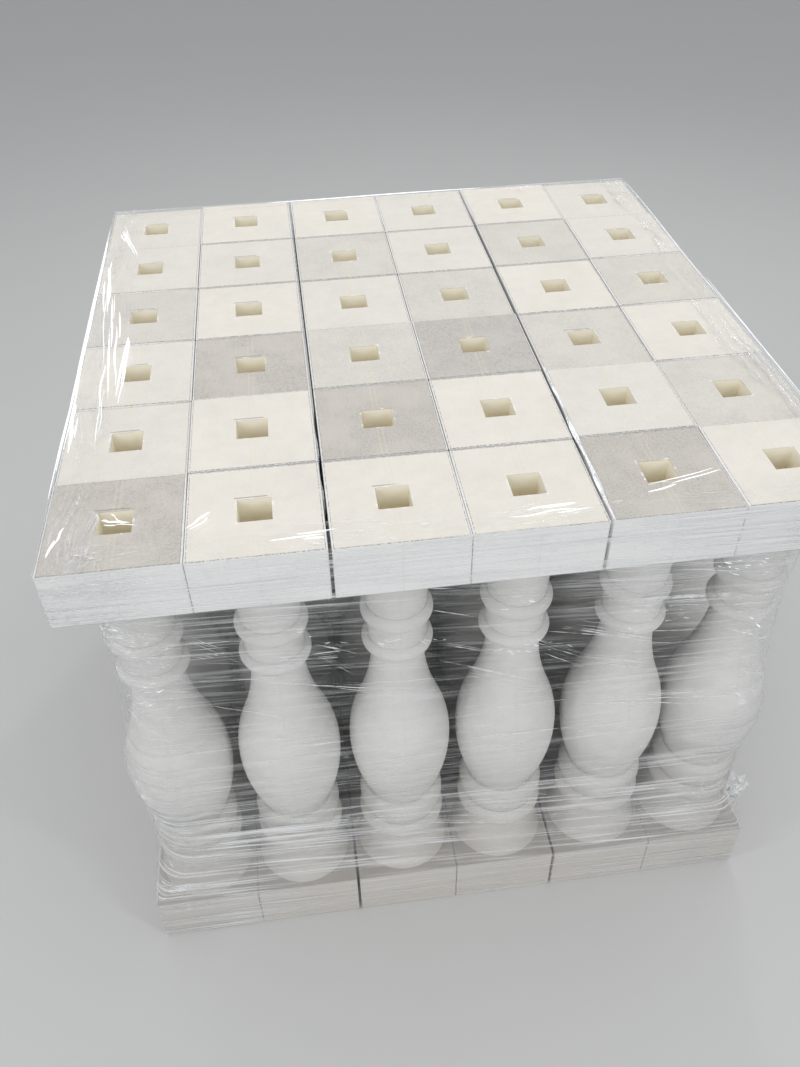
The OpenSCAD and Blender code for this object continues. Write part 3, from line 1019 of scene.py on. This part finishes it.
def layTopWrinkles(material):
    look, rng = topWrinkles, np.random.default_rng(topWrinkles["seed"])
    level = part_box("film_fold")[0].z + look["level"]
    inset, spacing, fewest = look["inset"], look["spacing"], wrinkles["fewest"]
    strips = Strips()
    for start, end, count, spread in topLines:
        start, end = np.array(start), np.array(end)
        length = float(np.linalg.norm(end - start))
        ahead = (end - start) / length
        for _ in range(count):
            low = rng.uniform(*look["start"])
            high = min(1.0, low + rng.uniform(*look["share"]))
            share = np.linspace(low, high, max(fewest, int(length / spacing)))
            bow = rng.uniform(*look["bow"]) * np.sin(share * rng.uniform(*look["bows"]))
            aside = rng.normal(0, spread) + bow
            x = start[0] + (end[0] - start[0]) * share - ahead[1] * aside
            y = start[1] + (end[1] - start[1]) * share + ahead[0] * aside
            x = np.clip(x, cadLow[0] + inset, cadHigh[0] - inset)
            y = np.clip(y, cadLow[1] + inset, cadHigh[1] - inset)
            path = np.stack([x, y, level + rng.uniform(*look["lift"]) + 0 * x], axis=1)
            across = (-ahead[1], ahead[0], rng.uniform(*look["lean"]))
            strips.add(ribbon(path, across, rng.uniform(*look["width"])))
    strips.finish("filmWrinkles_top", material)
    print("wrinkles: top", strips.count)


flaps = {  # how far each flap reaches over the caps, its ragged part and the height of its ridges
    "front": (0.036, 0.018, 0.0004),
    "right": (0.044, 0.022, 0.0007),
    "back": (0.024, 0.012, 0.0006),
    "left": (0.05, 0.026, 0.0008),
}

flapShape = {
    "seed": 31,
    "steps": 300,
    "rows": 22,
    "tear": [(9, 0.4), (23, 0.28), (61, 0.16), (140, 0.1)],  # waves and share of each part of the torn edge
    "least": 0.012,
    "corner": 0.0006,  # how far the front and back flaps pass the diagonal
    "ridges": [(420, 9, 0.5), (900, 15, 0.3), (240, 5, 0.6)],  # waves inward, waves along and share
    "sway": 4,
    "level": 1.2,  # added to the ridges, so that few of them are cut off
    "rise": 4,  # the ridges have their full height from one part in so many on
    "curlPart": 0.2,  # of the width, at the torn edge
    "curl": 0.0024,
    "curlWaves": (50, 21),
    "above": 0.0004,  # the underside of the solid fold
}


def foldFlaps(materials):
    # film turned over the outer caps, with a torn inner edge
    look, rng = flapShape, np.random.default_rng(flapShape["seed"])
    foldLow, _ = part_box("film_fold")
    t, v = np.linspace(0, 1, look["steps"]), np.linspace(0, 1, look["rows"])[:, None]
    for k, side, (_, along, out, _) in filmSides():
        width, ragged, ridge = flaps[side]
        run, out = float(along[-1]), float(out[-1])
        tear = sum(np.sin(t * waves + rng.uniform(*waveStart)) * share for waves, share in look["tear"])
        edge = np.clip(width + ragged * tear, look["least"], None)
        x = -run + 2 * run * t
        inward = v * edge[None, :]
        if k % 2 == 0:  # the front and back flaps end on the diagonal of each corner
            inward = np.minimum(inward, (run - abs(x))[None, :] + look["corner"])
        folds = 0
        for inner, outer, share in look["ridges"]:
            bend = look["sway"] * np.sin(x[None, :] * outer + rng.uniform(*waveStart))
            folds = folds + np.sin(inward * inner + bend + rng.uniform(*waveStart)) * share
        lift = ridge * (folds + look["level"]).clip(0) * np.minimum(v * look["rise"], 1)
        wide, narrow = look["curlWaves"]
        wave = (0.5 + 0.5 * np.sin(x * wide + 3 * np.sin(x * narrow)))[None, :]
        part = look["curlPart"]
        curl = np.clip((v - (1 - part)) / part, 0, 1) ** 2 * look["curl"] * wave
        z = foldLow.z + look["above"] + lift + curl
        places = np.stack([np.broadcast_to(x[None, :], z.shape), inward - out, z], axis=-1)
        piece = gridObject("filmFlap_" + side, turned(places, k), materials["X" if k % 2 == 0 else "Y"])
        if side == "front":
            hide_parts("film_fold")
    print("flaps:", len(flaps))


seamStrip = {
    "x": 0.1564,  # between the fourth and the fifth column
    "run": (-0.466, -0.15),
    "points": (9, 160),  # across and along
    "half": 0.0034,
    "above": 0.0004,  # the caps
    "ends": (0.5, 0.3, 0.4),  # angle at which it starts and stops, and how blunt it is there
    "uneven": (0.25, 61, 1.0),  # share of the width, waves and start
    "sway": (0.0006, 47),  # width and waves
    "arch": (0.0006, 0.4, 90, 5),  # height, how much of it comes and goes, waves along and across
}


def laySeamStrip(material):
    # a strip of film lying along the seam between two bundles
    look, (wide, long) = seamStrip, seamStrip["points"]
    y = np.linspace(*look["run"], long)
    startAngle, endAngle, blunt = look["ends"]
    ends = np.sin(np.linspace(startAngle, math.pi - endAngle, long)) ** blunt
    share, waves, start = look["uneven"]
    half = look["half"] * (1 - share + share * np.sin(y * waves + start)) * ends
    sway, swayWaves = look["sway"]
    height, loose, along, aside = look["arch"]
    across = np.linspace(-1, 1, wide)[:, None]
    x = look["x"] + across * half[None, :] + sway * np.sin(y * swayWaves)[None, :]
    arch = height * (1 - across ** 2) * (1 - loose + loose * np.sin(y * along + aside * across))
    z = casting["tallest"] + look["above"] + arch
    gridObject("filmSeamStrip", np.stack([x, y[None, :] + 0 * x, z + 0 * x], axis=-1), material)
    print("seam strip:", wide, "x", long)


tail = {
    "z": 0.172,
    "size": (0.036, 0.08),  # outward and up
    "points": (26, 40),
    "meanReach": 0.55,  # share of its size outward
    "ragged": [(0.2, 17, 1), (0.15, 41, 0), (0.1, 83, 2)],  # share, waves and start
    "crumple": [(0.004, 30, 6), (0.002, 71, -9)],  # depth, waves up and waves outward
    "crumpleX": 0.6,  # share of the crumple that also shows along the front
    "narrows": 0.35,  # share of its height that is gone at the end
    "flutter": (0.006, 25),  # height and waves
    "outward": (0.9, -0.35),  # direction
}


def hangTail(material):
    # the ragged tail of the wind at the right front corner
    heights, halfWidth, halfDepth, radius = filmOutline()
    along, out, bend = (np.interp(tail["z"], heights, values) for values in (halfWidth, halfDepth, radius))
    cut = (1 - math.sin(math.pi / 4)) * bend
    outward, tall = tail["size"]
    wide, high = tail["points"]
    s, t = np.meshgrid(np.linspace(0, 1, wide), np.linspace(-0.5, 0.5, high))
    ragged, crumple = tail["meanReach"], 0
    for share, waves, start in tail["ragged"]:
        ragged = ragged + share * np.sin(t * waves + start)
    for depth, up, across in tail["crumple"]:
        crumple = crumple + depth * s * np.sin(t * up + across * s)
    flutter, waves = tail["flutter"]
    reach = outward * ragged * s
    x = along - cut + reach * tail["outward"][0] + crumple * tail["crumpleX"]
    y = cut - out + reach * tail["outward"][1] + crumple
    z = tail["z"] + t * tall * (1 - tail["narrows"] * s) + flutter * s * np.sin(t * waves)
    gridObject("filmTail", np.stack([x, y, z], axis=-1), material)
    print("tail:", wide, "x", high)


stage = {
    "floorColour": (0.62, 0.62, 0.61),
    "floorCloud": (3.0, 4.0, 0.6),
    "floorTones": (0.985, 1.015),
    "floorRoughness": 0.75,
    "floorHalf": 12.0,
    "worldColour": (0.95, 0.97, 1.0),
    "worldStrength": 0.5,
}

panels = {  # place, what it looks at, width, length, watts
    "overheadPanel": ((0.2, 0.5, 3.0), (0.0, 0.0, 0.4), 3.6, 3.0, 30.0),
    "frontPanel": ((-1.2, -3.6, 2.0), (0.0, 0.0, 0.4), 2.6, 1.8, 34.0),
    "leftStrip": ((-2.1, -1.0, 2.5), (-0.3, -0.3, 0.6), 0.12, 1.3, 9.0),
    "rightStrip": ((1.7, -2.0, 2.3), (0.2, -0.4, 0.6), 0.12, 1.3, 9.0),
    "backStrip": ((0.9, 2.2, 2.3), (0.0, 0.0, 0.7), 0.12, 1.3, 7.0),
}

view = {
    "place": (-0.16939, -1.20869, 1.45426),
    "pitch": 41.47,  # degrees below the horizon
    "heading": 6.91,  # degrees from +Y towards +X
    "roll": -1.12,
    "lens": 31.84,  # mm
    "sensor": 36,  # mm along the picture's long side
    "farthest": 60,
}


def buildStage():
    half = stage["floorHalf"]
    mesh = bpy.data.meshes.new("floor")
    corners = [(-half, -half, 0), (half, -half, 0), (half, half, 0), (-half, half, 0)]
    mesh.from_pydata(corners, [], [(0, 1, 2, 3)])
    material, tree, shader, coords = newMaterial("paleFloor")
    cloud = addNoise(tree, coords["Object"], *stage["floorCloud"])
    tones = (tinted(stage["floorColour"], share) for share in stage["floorTones"])
    setSocket(tree, shader.inputs["Base Color"], addMix(tree, cloud, *tones))
    shader.inputs["Roughness"].default_value = stage["floorRoughness"]
    mesh.materials.append(material)
    addObject("floor", mesh)
    world = bpy.data.worlds.new("paleRoom")
    bpy.context.scene.world = world
    world.use_nodes = True
    ground = world.node_tree.nodes["Background"]
    ground.inputs["Color"].default_value = (*stage["worldColour"], 1)
    ground.inputs["Strength"].default_value = stage["worldStrength"]
    for name, (place, target, width, length, watts) in panels.items():
        lamp = bpy.data.lights.new(name, "AREA")
        lamp.shape = "RECTANGLE"
        lamp.size, lamp.size_y, lamp.energy = width, length, watts
        holder = addObject(name, lamp)
        holder.location = place
        holder.rotation_mode = "QUATERNION"
        holder.rotation_quaternion = (Vector(target) - Vector(place)).to_track_quat("-Z", "Y")
    print("stage: floor, world and", len(panels), "panels")


def placeCamera():
    data = bpy.data.cameras.new("camera")
    data.sensor_width = view["sensor"]
    data.lens = view["lens"]
    data.clip_end = view["farthest"]
    holder = addObject("camera", data)
    turn = Matrix.Rotation(math.radians(-view["heading"]), 4, "Z")
    turn = turn @ Matrix.Rotation(math.radians(90 - view["pitch"]), 4, "X")
    turn = turn @ Matrix.Rotation(math.radians(view["roll"]), 4, "Z")
    holder.matrix_world = Matrix.Translation(view["place"]) @ turn
    bpy.context.scene.camera = holder
    bpy.context.scene.view_settings.view_transform = "Standard"
    print("camera: at", view["place"])


dressCastings()
filmGroups = {"filmStreaks": makeFilmStreaks(), "glints": makeGlints()}
foldedFilm = {wind: makeFoldedFilm(filmGroups, wind) for wind in folded}
looseFilm = {name: makeWrinkleFilm(name, *look) for name, look in wrinkleFilms.items()}
windFilm(makeWoundFilm(filmGroups))
foldFlaps(foldedFilm)
layWrinkles(looseFilm["wrinkleFilm"], looseFilm["brightFilm"])
layTopWrinkles(looseFilm["brightFilm"])
laySeamStrip(looseFilm["seamFilm"])
hangTail(looseFilm["tailFilm"])
buildStage()
placeCamera()
